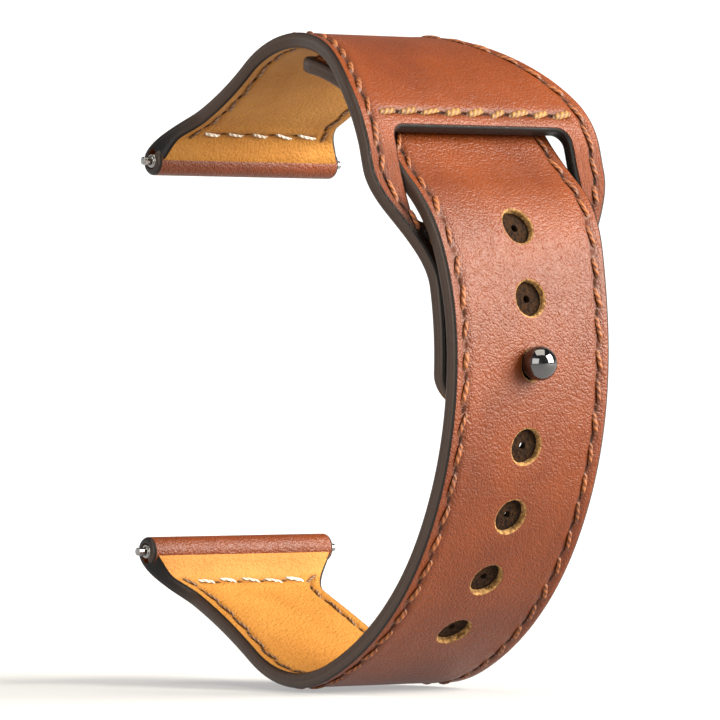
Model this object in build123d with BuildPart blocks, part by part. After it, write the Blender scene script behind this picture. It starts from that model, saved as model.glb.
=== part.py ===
from build123d import *
from math import atan2, copysign, cos, degrees, hypot, radians, sin, sqrt
import os

# Leather watch strap in two pieces, closed round the wrist by a stud, with its free end tucked in.
# X runs away from the watch, Y along the spring bars and Z up. The origin is under the middle of the loop.

# Leather layers, from the face to the wrist
face_thickness = 0.60
lining_thickness = 0.80

# Shape of the closed loop, clockwise from the upper spring bar: radius and turn of each arc of its line
upper_heading = 49.4
upper_shoulder_radius, upper_shoulder_turn = 14.4, -25.6
upper_hollow_radius, upper_hollow_turn = 36.5, 13.2
rise_radius, rise_turn = 12.5, -41.9
crown_radius, crown_turn = 24.0, -37.7
slot_bend_radius, slot_bend_turn = 9.5, -33.5
slot_hollow_radius, slot_hollow_turn = 30.0, 10.7
side_radius, side_turn = 32.8, -54.8
lower_side_radius, lower_side_turn = 26.5, -37.3
heel_radius, heel_turn = 12.8, -52.7
lower_run_radius, lower_run_turn = 110.0, 5.7
lower_shoulder_radius, lower_shoulder_turn = 7.65, -39.1

# Places along the loop's line, measured from the upper spring bar
free_end_place = 21.0
crossing_place = 48.6
crossing_half_length = 6.8
stud_place = 65.6
tail_reach = 5.6

# Gaps where the pieces overlap
row_clearance = 0.10
free_end_gap = 0.80
slot_clearance = 0.45

# Width of the short piece, from its bar to its tail
lug_half_width = 11.0
lug_flare_length = 6.4
neck_half_width = 8.5
neck_end_place = 21.5
shoulder_half_width = 14.1
shoulder_start_place = 44.0
shoulder_end_place = 47.0
taper_end_place = 58.5
tail_half_width = 9.2
tail_round_length = 4.6
slot_arm_width = 3.7
slot_corner_radius = 1.2

# Width of the long piece, from its free end to its bar
long_half_width = 9.3
waist_half_width = 7.9
waist_growth_length = 25.5
free_end_round_length = 7.5

# Spring bars, their tunnels and the leather turned round them
bar_radius = 0.75
bar_bore_radius = 0.62
bar_lip_length = 0.50
bar_running_gap = 0.05
tip_pin_radius = 0.40
tip_pin_length = 1.00
tip_chamfer = 0.12
tip_shoulder_length = 0.55
tip_stem_length = 1.15
piston_length = 1.40
spring_wire_width = 0.18
spring_pitch = 4.2
flap_length = 4.6
flap_thickness = 0.30

# Adjustment holes
hole_count = 7
hole_diameter = 3.4
hole_pitch = 6.8
stud_hole_index = 2
wear_stretch = 0.90

# Stud and its screw
head_clearance = 0.08
head_height = 2.5
head_lift = 0.10
neck_diameter = 2.2
foot_diameter = 4.0
foot_thickness = 0.35
shank_diameter = 2.6
shank_clearance = 0.05
thread_diameter = 1.5
thread_clearance = 0.05
screw_diameter = 5.2
screw_head_thickness = 0.60
screw_slot_width = 0.70
screw_slot_depth = 0.35
screw_edge_chamfer = 0.20
head_rim_share = 0.82
head_belt_share = 0.36

# Stitching
stitch_pitch = 2.85
stitch_length = 2.0
stitch_width = 0.55
stitch_height = 0.20
stitch_gap = 0.06
stitch_inset = 1.4
stitch_slant = 14
cross_stitch_pitch = 2.6
slot_row_distance = 1.6
lug_row_distance = 4.1

# Spare width of the uncut layers, and the spacing of the sections that trim them
spare_width = 2.0
section_spacing = 3.0

strap_thickness = face_thickness + lining_thickness
face_lift = strap_thickness / 2
back_lift = -strap_thickness / 2
seam_lift = face_lift - face_thickness
tunnel_radius = bar_radius + bar_running_gap
nose_radius = tunnel_radius + face_thickness
nose_lift = face_lift - nose_radius
cut_depth = 3 * strap_thickness
tail_gap = 2 * (stitch_gap + stitch_height) + row_clearance
outer_lift = strap_thickness + tail_gap
inner_lift = -strap_thickness - free_end_gap
head_base_lift = outer_lift + face_lift + head_lift
head_top_lift = head_base_lift + head_height
blank_half_width = max(lug_half_width, shoulder_half_width) + spare_width

os.makedirs("parts", exist_ok=True)


# A line is a chain of tangent arcs in the XZ plane. Each arc holds its start point, heading, radius and
# turn in degrees. A positive turn bears left, and a lift raises a point to the left, out of the loop.
def arc_length(arc):
    return arc[3] * radians(abs(arc[4]))


def line_length(line):
    return sum(arc_length(arc) for arc in line)


def point_on_arc(arc, travelled, lift=0):
    x, z, heading, radius, turn = arc
    side = copysign(1, turn)
    ahead = heading + side * degrees(travelled / radius)
    reach = side * radius - lift
    centre_x = x - side * radius * sin(radians(heading))
    centre_z = z + side * radius * cos(radians(heading))
    return centre_x + reach * sin(radians(ahead)), centre_z - reach * cos(radians(ahead)), ahead


def point_on(line, place, lift=0):
    for arc in line[:-1]:
        if place <= arc_length(arc):
            return point_on_arc(arc, place, lift)
        place -= arc_length(arc)
    return point_on_arc(line[-1], place, lift)


def follow(x, z, heading, stretches):
    line = []
    for radius, turn in stretches:
        line.append((x, z, heading, radius, turn))
        x, z, heading = point_on_arc(line[-1], radius * radians(abs(turn)))
    return line


def stretch_of(line, first, last, lift=0):
    kept = []
    for arc in line:
        length = arc_length(arc)
        begin, end = max(first, 0), min(last, length)
        if end > begin:
            side = copysign(1, arc[4])
            turn = side * degrees((end - begin) / arc[3])
            kept.append((*point_on_arc(arc, begin, lift), arc[3] - side * lift, turn))
        first -= length
        last -= length
    return kept


def arc_to(x, z, heading, end_x, end_z):
    chord = hypot(end_x - x, end_z - z)
    turn = 2 * (degrees(atan2(end_z - z, end_x - x)) - heading)
    turn = (turn + 180) % 360 - 180
    return x, z, heading, chord / 2 / sin(radians(abs(turn) / 2)), turn


def join(start, end):
    """Two tangent arcs from one point and heading to another."""
    x0, z0, heading0 = start
    x1, z1, heading1 = end
    ahead0 = cos(radians(heading0)), sin(radians(heading0))
    ahead1 = cos(radians(heading1)), sin(radians(heading1))
    along = (x1 - x0) * (ahead0[0] + ahead1[0]) + (z1 - z0) * (ahead0[1] + ahead1[1])
    spread = 2 * (1 - ahead0[0] * ahead1[0] - ahead0[1] * ahead1[1])
    reach = (sqrt(along**2 + spread * ((x1 - x0) ** 2 + (z1 - z0) ** 2)) - along) / spread
    mid_x = (x0 + x1 + reach * (ahead0[0] - ahead1[0])) / 2
    mid_z = (z0 + z1 + reach * (ahead0[1] - ahead1[1])) / 2
    first = arc_to(x0, z0, heading0, mid_x, mid_z)
    return [first, arc_to(mid_x, mid_z, heading0 + first[4], x1, z1)]


def direction(heading):
    return Vector(cos(radians(heading)), 0, sin(radians(heading)))


def face_plane(line, place, lift=0):
    """Plane along the strap: x follows it, y crosses it and z points out of its face."""
    x, z, heading = point_on(line, place, lift)
    return Plane(origin=(x, 0, z), x_dir=direction(heading), z_dir=direction(heading + 90))


def section_plane(line, place, lift=0):
    """Plane across the strap: x crosses it and y points out of its face."""
    x, z, heading = point_on(line, place, lift)
    return Plane(origin=(x, 0, z), x_dir=(0, 1, 0), z_dir=direction(heading))


def trace(line, lift):
    for arc in line:
        middle = arc_length(arc) / 2
        ThreePointArc(*(point_on_arc(arc, travelled, lift)[:2] for travelled in (0, middle, 2 * middle)))


def ease(share):
    share = min(max(share, 0), 1)
    return share * share * (3 - 2 * share)


def ease_between(place, start, end):
    return ease((place - start) / (end - start))


# The loop's line is the middle of the short piece. The long piece lies inside it at the free end, crosses
# it in the slot and goes on outside the tail.
stretches = [
    (upper_shoulder_radius, upper_shoulder_turn),
    (upper_hollow_radius, upper_hollow_turn),
    (rise_radius, rise_turn),
    (crown_radius, crown_turn),
    (slot_bend_radius, slot_bend_turn),
    (slot_hollow_radius, slot_hollow_turn),
    (side_radius, side_turn),
    (lower_side_radius, lower_side_turn),
    (heel_radius, heel_turn),
    (lower_run_radius, lower_run_turn),
    (lower_shoulder_radius, lower_shoulder_turn),
]


def long_stretches(loop):
    leave = crossing_place - crossing_half_length
    arrive = crossing_place + crossing_half_length
    inside = stretch_of(loop, free_end_place, leave, inner_lift)
    crossing = join(point_on(loop, leave, inner_lift), point_on(loop, arrive, outer_lift))
    to_stud = stretch_of(loop, arrive, stud_place, outer_lift)
    past_stud = stretch_of(loop, stud_place, line_length(loop), outer_lift)
    return inside, crossing, to_stud, past_stud


# Set out once from zero to find the sides and the lowest point, then again from the true start
trial_loop = follow(0, 0, upper_heading, stretches)
trial_long = sum(long_stretches(trial_loop), [])
with BuildLine() as trial_face:
    trace(trial_long, face_lift)
upper_nose_x = point_on(trial_loop, 0, nose_lift)[0]
lower_nose_x = point_on(trial_long, line_length(trial_long), nose_lift)[0]
left_x = min(upper_nose_x, lower_nose_x) - nose_radius
right_x = point_on(trial_loop, stud_place, head_top_lift)[0]
bottom_z = trial_face.line.bounding_box().min.Y

loop = follow(-(left_x + right_x) / 2, -bottom_z, upper_heading, stretches)
short_line = stretch_of(loop, 0, stud_place + tail_reach)
short_length = line_length(short_line)
inside, crossing, to_stud, past_stud = long_stretches(loop)
long_line = inside + crossing + to_stud + past_stud
long_length = line_length(long_line)
stud_place_on_long = line_length(inside + crossing + to_stud)


def short_half_width(place):
    """Wide at the bar, a narrow neck, wide beside the slot, then the tail."""
    bar_share = ease_between(place, 0, lug_flare_length)
    shoulder_share = ease_between(place, neck_end_place, shoulder_start_place)
    taper_share = ease_between(place, shoulder_end_place, taper_end_place)
    width = lug_half_width + bar_share * (neck_half_width - lug_half_width)
    width += shoulder_share * (shoulder_half_width - neck_half_width)
    return width + taper_share * (tail_half_width - shoulder_half_width)


def long_half_width_at(place):
    """Parallel from the free end, narrowing to a waist, then wide at the bar."""
    from_bar = long_length - place
    bar_share = ease_between(from_bar, 0, lug_flare_length)
    growth_share = ease_between(from_bar, lug_flare_length, lug_flare_length + waist_growth_length)
    width = lug_half_width + bar_share * (waist_half_width - lug_half_width)
    return width + growth_share * (long_half_width - waist_half_width)


# The slot ends where the long piece passes clear of the short piece's edge
def gap_to_long(x, z):
    steps = 200
    length = line_length(crossing)
    shares = (step / steps for step in range(steps + 1))
    nearest = min(hypot(x - px, z - pz) for px, pz, _ in (point_on(crossing, length * s) for s in shares))
    return nearest - strap_thickness / 2


def slot_end(step):
    place = crossing_place
    while True:
        corners = [point_on(loop, place, lift)[:2] for lift in (back_lift, 0, face_lift)]
        if min(gap_to_long(x, z) for x, z in corners) >= slot_clearance:
            return place
        place += step


slot_step = slot_clearance / 10
slot_top_place = slot_end(-slot_step)
slot_bottom_place = slot_end(slot_step)
slot_half_width = shoulder_half_width - slot_arm_width


def side_cuts(line, half_width_at, first, last):
    """Everything beyond the strap's two edges, carried along its line."""
    count = round((last - first) / section_spacing)
    with BuildPart() as cuts:
        for index in range(count + 1):
            place = first + (last - first) * index / count
            with BuildSketch(section_plane(line, place)):
                with Locations((half_width_at(place), 0)):
                    Rectangle(blank_half_width, 2 * cut_depth, align=(Align.MIN, Align.CENTER))
        loft()
        mirror(about=Plane.XZ)
    return cuts.part


def round_end_cut(line, place, half_width, round_length, side):
    """Everything beyond a rounded end. The side is -1 at the line's start and 1 at its end."""
    with BuildPart() as cut:
        with BuildSketch(face_plane(line, place)):
            with Locations((side * (round_length + spare_width) / 2, 0)):
                Rectangle(round_length + spare_width, 2 * blank_half_width)
            Ellipse(round_length, half_width, mode=Mode.SUBTRACT)
        extrude(amount=cut_depth, both=True)
    return cut.part


def layer_outline(line, low, high):
    """Side view of one layer, between two lifts."""
    with BuildSketch(Plane.XZ) as outline:
        with BuildLine():
            trace(line, low)
            trace(line, high)
            for place in (0, line_length(line)):
                Line(point_on(line, place, low)[:2], point_on(line, place, high)[:2])
        make_face()
    return outline.sketch


def flap_outline(line, bar_place, side):
    """Side view of the face leather's skived end, turned round the bar and glued between the layers."""
    first, last = sorted((bar_place, bar_place + side * flap_length))
    root = point_on(line, bar_place, seam_lift)[:2]
    under = point_on(line, bar_place + side * tunnel_radius, seam_lift - flap_thickness)[:2]
    end = point_on(line, bar_place + side * flap_length, seam_lift)[:2]
    with BuildSketch(Plane.XZ) as outline:
        with BuildLine():
            trace(stretch_of(line, first, last), seam_lift)
            Polyline(root, under, end)
        make_face()
    return outline.sketch


def nose_outline(centre, radius):
    with BuildSketch(Plane.XZ) as outline:
        with Locations(centre):
            Circle(radius)
    return outline.sketch


# What is cut from both layers of the short piece
with BuildPart() as slot_cut:
    with BuildSketch(Plane.XZ):
        with BuildLine():
            Polyline(
                point_on(loop, slot_top_place, -cut_depth)[:2],
                point_on(loop, slot_top_place, cut_depth)[:2],
                point_on(loop, slot_bottom_place, cut_depth)[:2],
                point_on(loop, slot_bottom_place, -cut_depth)[:2],
                close=True,
            )
        make_face()
    extrude(amount=slot_half_width, both=True)
    wall_edges = slot_cut.faces().filter_by(Axis.Y).edges()
    fillet([edge for edge in wall_edges if abs(edge.length - 2 * cut_depth) < tail_gap], slot_corner_radius)

with BuildPart() as shank_cut:
    with BuildSketch(face_plane(loop, stud_place)):
        Circle(shank_diameter / 2 + shank_clearance)
    extrude(amount=cut_depth, both=True)

short_cuts = [
    side_cuts(loop, short_half_width, -2 * nose_radius, short_length + nose_radius),
    round_end_cut(short_line, short_length - tail_round_length, tail_half_width, tail_round_length, 1),
    slot_cut.part,
    shank_cut.part,
]

# What is cut from both layers of the long piece
with BuildPart() as hole_cuts:
    for index in range(hole_count):
        place = stud_place_on_long + wear_stretch + (index - stud_hole_index) * hole_pitch
        with BuildSketch(face_plane(long_line, place)):
            if index == stud_hole_index:
                with Locations((-wear_stretch / 2, 0)):
                    SlotCenterToCenter(wear_stretch, hole_diameter)
            else:
                Circle(hole_diameter / 2)
    extrude(amount=cut_depth, both=True)

long_cuts = [
    side_cuts(long_line, long_half_width_at, 0, long_length + 2 * nose_radius),
    round_end_cut(long_line, free_end_round_length, long_half_width, free_end_round_length, -1),
    hole_cuts.part,
]

short_bar_centre = point_on(loop, 0, nose_lift)[:2]
long_bar_centre = point_on(long_line, long_length, nose_lift)[:2]

# Short piece: face leather and lining
with BuildPart() as short_face_leather:
    with BuildSketch(Plane.XZ):
        add(layer_outline(short_line, seam_lift, face_lift))
        add(flap_outline(short_line, 0, 1))
        add(nose_outline(short_bar_centre, nose_radius))
        add(nose_outline(short_bar_centre, tunnel_radius), mode=Mode.SUBTRACT)
    extrude(amount=blank_half_width, both=True)
    for cut in short_cuts:
        add(cut, mode=Mode.SUBTRACT)
short_face_leather.part.label = "short_face_leather"
export_step(short_face_leather.part, "parts/short_face_leather.step")

with BuildPart() as short_lining:
    with BuildSketch(Plane.XZ):
        add(layer_outline(short_line, back_lift, seam_lift))
        add(flap_outline(short_line, 0, 1), mode=Mode.SUBTRACT)
        add(nose_outline(short_bar_centre, nose_radius), mode=Mode.SUBTRACT)
    extrude(amount=blank_half_width, both=True)
    for cut in short_cuts:
        add(cut, mode=Mode.SUBTRACT)
short_lining.part.label = "short_lining"
export_step(short_lining.part, "parts/short_lining.step")

# Long piece: face leather and lining
with BuildPart() as long_face_leather:
    with BuildSketch(Plane.XZ):
        add(layer_outline(long_line, seam_lift, face_lift))
        add(flap_outline(long_line, long_length, -1))
        add(nose_outline(long_bar_centre, nose_radius))
        add(nose_outline(long_bar_centre, tunnel_radius), mode=Mode.SUBTRACT)
    extrude(amount=blank_half_width, both=True)
    for cut in long_cuts:
        add(cut, mode=Mode.SUBTRACT)
long_face_leather.part.label = "long_face_leather"
export_step(long_face_leather.part, "parts/long_face_leather.step")

with BuildPart() as long_lining:
    with BuildSketch(Plane.XZ):
        add(layer_outline(long_line, back_lift, seam_lift))
        add(flap_outline(long_line, long_length, -1), mode=Mode.SUBTRACT)
        add(nose_outline(long_bar_centre, nose_radius), mode=Mode.SUBTRACT)
    extrude(amount=blank_half_width, both=True)
    for cut in long_cuts:
        add(cut, mode=Mode.SUBTRACT)
long_lining.part.label = "long_lining"
export_step(long_lining.part, "parts/long_lining.step")

# Stud: foot on the tail, shank through it, neck through the long piece and a round head over it
foot_top_lift = face_lift + foot_thickness
shank_end_lift = back_lift + shank_clearance
bore_radius = thread_diameter / 2 + thread_clearance
head_radius = hole_diameter / 2 - head_clearance
head_belt_lift = head_base_lift + head_height * head_belt_share
head_rim_radius = head_radius * head_rim_share
crown_height = head_top_lift - head_belt_lift
crown_sphere_radius = (head_radius**2 + crown_height**2) / 2 / crown_height
crown_angle = atan2(head_radius, crown_sphere_radius - crown_height) / 2
crown_middle = (
    crown_sphere_radius * sin(crown_angle),
    head_top_lift - crown_sphere_radius * (1 - cos(crown_angle)),
)
stud_plane = section_plane(loop, stud_place)
stud_x, stud_z, stud_heading = point_on(loop, stud_place)
stud_axis = Axis((stud_x, 0, stud_z), direction(stud_heading + 90))

with BuildPart() as stud:
    with BuildSketch(stud_plane):
        with BuildLine():
            Polyline(
                (0, head_top_lift),
                (0, foot_top_lift),
                (bore_radius, foot_top_lift),
                (bore_radius, shank_end_lift),
                (shank_diameter / 2, shank_end_lift),
                (shank_diameter / 2, face_lift),
                (foot_diameter / 2, face_lift),
                (foot_diameter / 2, foot_top_lift),
                (neck_diameter / 2, foot_top_lift),
                (neck_diameter / 2, head_base_lift),
                (head_rim_radius, head_base_lift),
            )
            TangentArc((head_radius, head_belt_lift), (head_rim_radius, head_base_lift), tangent=(0, -1))
            ThreePointArc((head_radius, head_belt_lift), crown_middle, (0, head_top_lift))
        make_face()
    revolve(axis=stud_axis)
stud.part.label = "stud"
export_step(stud.part, "parts/stud.step")

# Screw from the wrist side, its head's rim seated on the hollow of the lining
tail_back_radius = side_radius + back_lift
seat_depth = tail_back_radius - sqrt(tail_back_radius**2 - (screw_diameter / 2) ** 2)
screw_seat_lift = back_lift - seat_depth
screw_back_lift = screw_seat_lift - screw_head_thickness

with BuildPart() as stud_screw:
    with BuildSketch(stud_plane):
        with BuildLine():
            Polyline(
                (0, foot_top_lift - thread_clearance),
                (thread_diameter / 2, foot_top_lift - thread_clearance),
                (thread_diameter / 2, screw_seat_lift),
                (screw_diameter / 2, screw_seat_lift),
                (screw_diameter / 2, screw_back_lift),
                (0, screw_back_lift),
                close=True,
            )
        make_face()
    revolve(axis=stud_axis)
    back_face = stud_screw.faces().sort_by(stud_axis)[0]
    chamfer(back_face.edges(), screw_edge_chamfer)
    with BuildSketch(face_plane(loop, stud_place, screw_back_lift)):
        Rectangle(screw_diameter, screw_slot_width)
    extrude(amount=screw_slot_depth, mode=Mode.SUBTRACT)
stud_screw.part.label = "stud_screw"
export_step(stud_screw.part, "parts/stud_screw.step")

# Spring bars: a tube with turned-in lips, two sprung tips and the spring between them. Each tip has a piston
# in the tube, a stem, a shoulder that meets the lug and a pin that enters it.
lip_radius = tip_pin_radius + bar_running_gap
piston_radius = bar_bore_radius - bar_running_gap
shoulder_radius = bar_radius - bar_running_gap
shoulder_inner_y = lug_half_width - tip_shoulder_length
bar_half_length = shoulder_inner_y - tip_stem_length
piston_outer_y = bar_half_length - bar_lip_length - bar_running_gap
piston_inner_y = piston_outer_y - piston_length
spring_half_length = piston_inner_y - bar_running_gap
spring_radius = bar_bore_radius - bar_running_gap - spring_wire_width / 2
tip_end_y = lug_half_width + tip_pin_length


def revolve_round_bar(centre, points):
    """A turned piece on the bar's axis, from its half outline as distances along Y and from the axis."""
    x, z = centre
    with BuildPart() as turned:
        with BuildSketch(Plane(origin=(x, 0, z), x_dir=(0, 1, 0), z_dir=(1, 0, 0))):
            with BuildLine():
                Polyline(*points, close=True)
            make_face()
        revolve(axis=Axis((x, 0, z), (0, 1, 0)))
    return turned


def bar_tube(centre):
    inner = bar_half_length - bar_lip_length
    return revolve_round_bar(
        centre,
        [
            (-bar_half_length, lip_radius),
            (-bar_half_length, bar_radius),
            (bar_half_length, bar_radius),
            (bar_half_length, lip_radius),
            (inner, lip_radius),
            (inner, bar_bore_radius),
            (-inner, bar_bore_radius),
            (-inner, lip_radius),
        ],
    )


def bar_tip(centre, side):
    return revolve_round_bar(
        centre,
        [
            (side * piston_inner_y, 0),
            (side * piston_inner_y, piston_radius),
            (side * piston_outer_y, piston_radius),
            (side * piston_outer_y, tip_pin_radius),
            (side * shoulder_inner_y, tip_pin_radius),
            (side * shoulder_inner_y, shoulder_radius),
            (side * lug_half_width, shoulder_radius),
            (side * lug_half_width, tip_pin_radius),
            (side * (tip_end_y - tip_chamfer), tip_pin_radius),
            (side * tip_end_y, tip_pin_radius - tip_chamfer),
            (side * tip_end_y, 0),
        ],
    )


def bar_spring(centre):
    x, z = centre
    with BuildPart() as spring:
        with BuildLine():
            coil = Helix(spring_pitch, 2 * spring_half_length, spring_radius, (x, -spring_half_length, z), (0, 1, 0))
        with BuildSketch(Plane(origin=coil @ 0, z_dir=coil % 0)):
            Rectangle(spring_wire_width, spring_wire_width)
        sweep(is_frenet=True)
    return spring


for bar_name, centre in (("upper_bar", short_bar_centre), ("lower_bar", long_bar_centre)):
    pieces = {
        "tube": bar_tube(centre),
        "front_tip": bar_tip(centre, -1),
        "back_tip": bar_tip(centre, 1),
        "spring": bar_spring(centre),
    }
    for piece_name, piece in pieces.items():
        piece.part.label = f"{bar_name}_{piece_name}"
        export_step(piece.part, f"parts/{piece.part.label}.step")


# Stitching: each stitch is a short slanted bar just off the leather. A row lists its stitches as place,
# distance across and angle to the strap's line.
def edge_rows(half_width_at, first, last):
    count = round((last - first) / stitch_pitch)
    row = []
    for index in range(count + 1):
        place = first + (last - first) * index / count
        across = half_width_at(place) - stitch_inset
        row += [(place, across, stitch_slant), (place, -across, -stitch_slant)]
    return row


def cross_row(place, half_length):
    count = round(2 * half_length / cross_stitch_pitch)
    return [(place, half_length * (2 * index / count - 1), 90 + stitch_slant) for index in range(count + 1)]


def end_row(place, half_width, round_length, side):
    """A row round a rounded end. The side is -1 at the line's start and 1 at its end."""
    reach = round_length - stitch_inset
    spread = half_width - stitch_inset
    count = round((2 * reach + spread) / stitch_pitch)
    row = []
    for index in range(1, count):
        angle = radians(180 * index / count - 90)
        tangent = degrees(atan2(spread * cos(angle), -side * reach * sin(angle)))
        row.append((place + side * reach * cos(angle), spread * sin(angle), tangent + stitch_slant))
    return row


def stitches(line, row, lift, face):
    """The stitches of one side of a piece. The face is 1 on the outside and -1 on the wrist side."""
    with BuildPart() as thread:
        for place, across, angle in row:
            x, z, heading = point_on(line, place, lift + face * stitch_gap)
            outward = direction(heading + 90) * face
            with BuildSketch(Plane(origin=(x, across, z), x_dir=direction(heading), z_dir=outward)):
                Rectangle(stitch_length, stitch_width, rotation=angle)
        extrude(amount=stitch_height)
    return thread


tail_round_place = short_length - tail_round_length
short_row = edge_rows(short_half_width, lug_row_distance, tail_round_place)
short_row += end_row(tail_round_place, tail_half_width, tail_round_length, 1)
for place in (lug_row_distance, slot_top_place - slot_row_distance):
    short_row += cross_row(place, short_half_width(place) - stitch_inset - stitch_length)

long_bar_row_place = long_length - lug_row_distance
long_row = edge_rows(long_half_width_at, free_end_round_length, long_bar_row_place)
long_row += end_row(free_end_round_length, long_half_width, free_end_round_length, -1)
long_row += cross_row(long_bar_row_place, long_half_width_at(long_bar_row_place) - stitch_inset - stitch_length)

threads = {
    "short_face_thread": stitches(short_line, short_row, face_lift, 1),
    "short_lining_thread": stitches(short_line, short_row, back_lift, -1),
    "long_face_thread": stitches(long_line, long_row, face_lift, 1),
    "long_lining_thread": stitches(long_line, long_row, back_lift, -1),
}
for thread_name, thread in threads.items():
    thread.part.label = thread_name
    export_step(thread.part, f"parts/{thread_name}.step")
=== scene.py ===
from math import atan2, ceil, cos, hypot, pi, radians, sin, sqrt

import bmesh
import bpy
import numpy as np
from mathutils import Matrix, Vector


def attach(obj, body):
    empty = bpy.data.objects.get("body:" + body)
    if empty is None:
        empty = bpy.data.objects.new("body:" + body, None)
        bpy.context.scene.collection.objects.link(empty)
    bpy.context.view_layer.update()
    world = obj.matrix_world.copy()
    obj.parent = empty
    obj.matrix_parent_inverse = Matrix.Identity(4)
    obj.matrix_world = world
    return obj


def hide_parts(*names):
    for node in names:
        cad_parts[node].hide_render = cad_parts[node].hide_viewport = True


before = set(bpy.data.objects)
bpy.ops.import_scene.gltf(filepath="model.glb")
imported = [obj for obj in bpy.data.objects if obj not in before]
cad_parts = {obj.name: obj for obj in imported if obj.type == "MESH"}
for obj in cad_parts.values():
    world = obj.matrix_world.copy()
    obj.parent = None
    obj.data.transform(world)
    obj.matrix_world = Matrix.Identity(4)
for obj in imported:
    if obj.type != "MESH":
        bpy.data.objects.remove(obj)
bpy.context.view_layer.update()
print("frame loaded")

# Lengths are in millimetres up to the last step of each mesh, which turns them into metres
millimetre = 0.001

# The closed loop: radius and turn of each arc of its line, clockwise from the upper spring bar
loopShape = {
    "start": (-23.150128, 50.717006), "heading": 49.4,
    "arcs": [
        (14.4, -25.6), (36.5, 13.2), (12.5, -41.9), (24.0, -37.7), (9.5, -33.5), (30.0, 10.7),
        (32.8, -54.8), (26.5, -37.3), (12.8, -52.7), (110.0, 5.7), (7.65, -39.1),
    ],
    "freeEnd": 21.0, "crossing": 48.6, "crossingHalf": 6.8, "stud": 65.6, "tailReach": 5.6,
    "insideLift": -2.2, "outsideLift": 2.02,
}

# Lifts of the layers from the middle of the strap, and the leather turned round each bar
layerShape = {
    "face": 0.7, "seam": 0.1, "back": -0.7, "nose": 1.4, "noseLift": -0.7, "noseTurn": 4.66,
    "liningStart": 1.0, "padStart": 3.7, "pad": 1.25,
}

shortShape = {
    "lugHalf": 11.0, "flare": 6.4, "neckHalf": 8.5, "neckEnd": 21.5,
    "shoulderHalf": 14.1, "shoulderStart": 44.0, "shoulderEnd": 47.0, "taperEnd": 58.5,
    "tailHalf": 9.2, "tailRound": 4.6,
    "slotStart": 43.15, "slotEnd": 52.5, "slotArm": 3.7, "slotCorner": 1.2, "slotMargin": 2.3,
}

longShape = {
    "lugHalf": 11.0, "flare": 6.4, "half": 9.3, "waistHalf": 7.9, "growth": 25.5, "tipRound": 5.5,
    "bulge": 0.97, "bulgeReach": 8.5, "holes": 7, "holeRadius": 1.62, "liningHoleRadius": 0.36,
    "studHoleRadius": 1.25, "studHoleShift": 0.15, "studHoleStretch": 0.3, "holePitch": 6.8, "studHole": 2,
    "stretch": 0.90,
}

# Sheet meshes: points across, spacing along, and the rounding of edges
sheetMesh = {
    "across": 72, "along": 0.32, "noseAlong": 0.14, "rings": 20,
    "edgeRound": 0.40, "holeRound": 0.24, "roundSteps": 6, "wallSteps": 2, "slotPaint": 0.42,
}

# Rows of stitches. Away from all rows, the distance to the nearest is taken as noRow.
stitchShape = {
    "pitch": 2.85, "inset": 1.4, "slant": 14.0, "crossPitch": 2.6, "slotRow": 1.6, "lugRow": 4.1,
    "crossInset": 2.0, "rowMargin": 0.6, "crossMargin": 0.9, "noRow": 9.0,
}


# A line is a chain of tangent arcs: start x, start z, heading, radius and turn, all angles in radians.
# A positive turn bears left, and a lift raises a point to the left, out of the loop.
def arcLength(arc):
    return arc[3] * abs(arc[4])


def lineLength(line):
    return sum(arcLength(arc) for arc in line)


# Point and heading: the arc's centre plus its radius, less the lift, turned by the place over the radius
def pointOn(line, place, lift=0.0):
    place = np.asarray(place, float)
    arcs = np.array(line)
    lengths = arcs[:, 3] * np.abs(arcs[:, 4])
    starts = np.concatenate([[0.0], np.cumsum(lengths)[:-1]])
    index = np.clip(np.searchsorted(starts, place, side="right") - 1, 0, len(line) - 1)
    startX, startZ, heading, radius, turn = (arcs[index, k] for k in range(5))
    side = np.sign(turn)
    ahead = heading + side * (place - starts[index]) / radius
    reach = side * radius - lift
    x = startX - side * radius * np.sin(heading) + reach * np.sin(ahead)
    z = startZ + side * radius * np.cos(heading) - reach * np.cos(ahead)
    return x, z, ahead


# The line that a list of radii and turns makes from a point and heading
def follow(x, z, heading, arcs):
    line = []
    for radius, turn in arcs:
        line.append((x, z, heading, radius, radians(turn)))
        x, z, heading = (float(value) for value in pointOn(line[-1:], radius * radians(abs(turn))))
    return line


# The part of a line between two places, moved out by a lift
def stretchOf(line, first, last, lift=0.0):
    kept = []
    for arc in line:
        length = arcLength(arc)
        begin, end = max(first, 0.0), min(last, length)
        if end > begin:
            side = 1 if arc[4] > 0 else -1
            start = tuple(float(value) for value in pointOn([arc], begin, lift))
            kept.append((*start, arc[3] - side * lift, side * (end - begin) / arc[3]))
        first -= length
        last -= length
    return kept


# One arc to a point: it turns by twice the angle from the heading to the chord
def arcTo(x, z, heading, endX, endZ):
    turn = 2 * (atan2(endZ - z, endX - x) - heading)
    turn = (turn + pi) % (2 * pi) - pi
    return x, z, heading, hypot(endX - x, endZ - z) / 2 / sin(abs(turn) / 2), turn


# Two tangent arcs from one point and heading to another
def join(start, end):
    x0, z0, heading0 = (float(value) for value in start)
    x1, z1, heading1 = (float(value) for value in end)
    c0, s0, c1, s1 = cos(heading0), sin(heading0), cos(heading1), sin(heading1)
    along = (x1 - x0) * (c0 + c1) + (z1 - z0) * (s0 + s1)
    spread = 2 * (1 - c0 * c1 - s0 * s1)
    reach = (sqrt(along**2 + spread * ((x1 - x0) ** 2 + (z1 - z0) ** 2)) - along) / spread
    midX = (x0 + x1 + reach * (c0 - c1)) / 2
    midZ = (z0 + z1 + reach * (s0 - s1)) / 2
    first = arcTo(x0, z0, heading0, midX, midZ)
    return [first, arcTo(midX, midZ, heading0 + first[4], x1, z1)]


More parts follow.
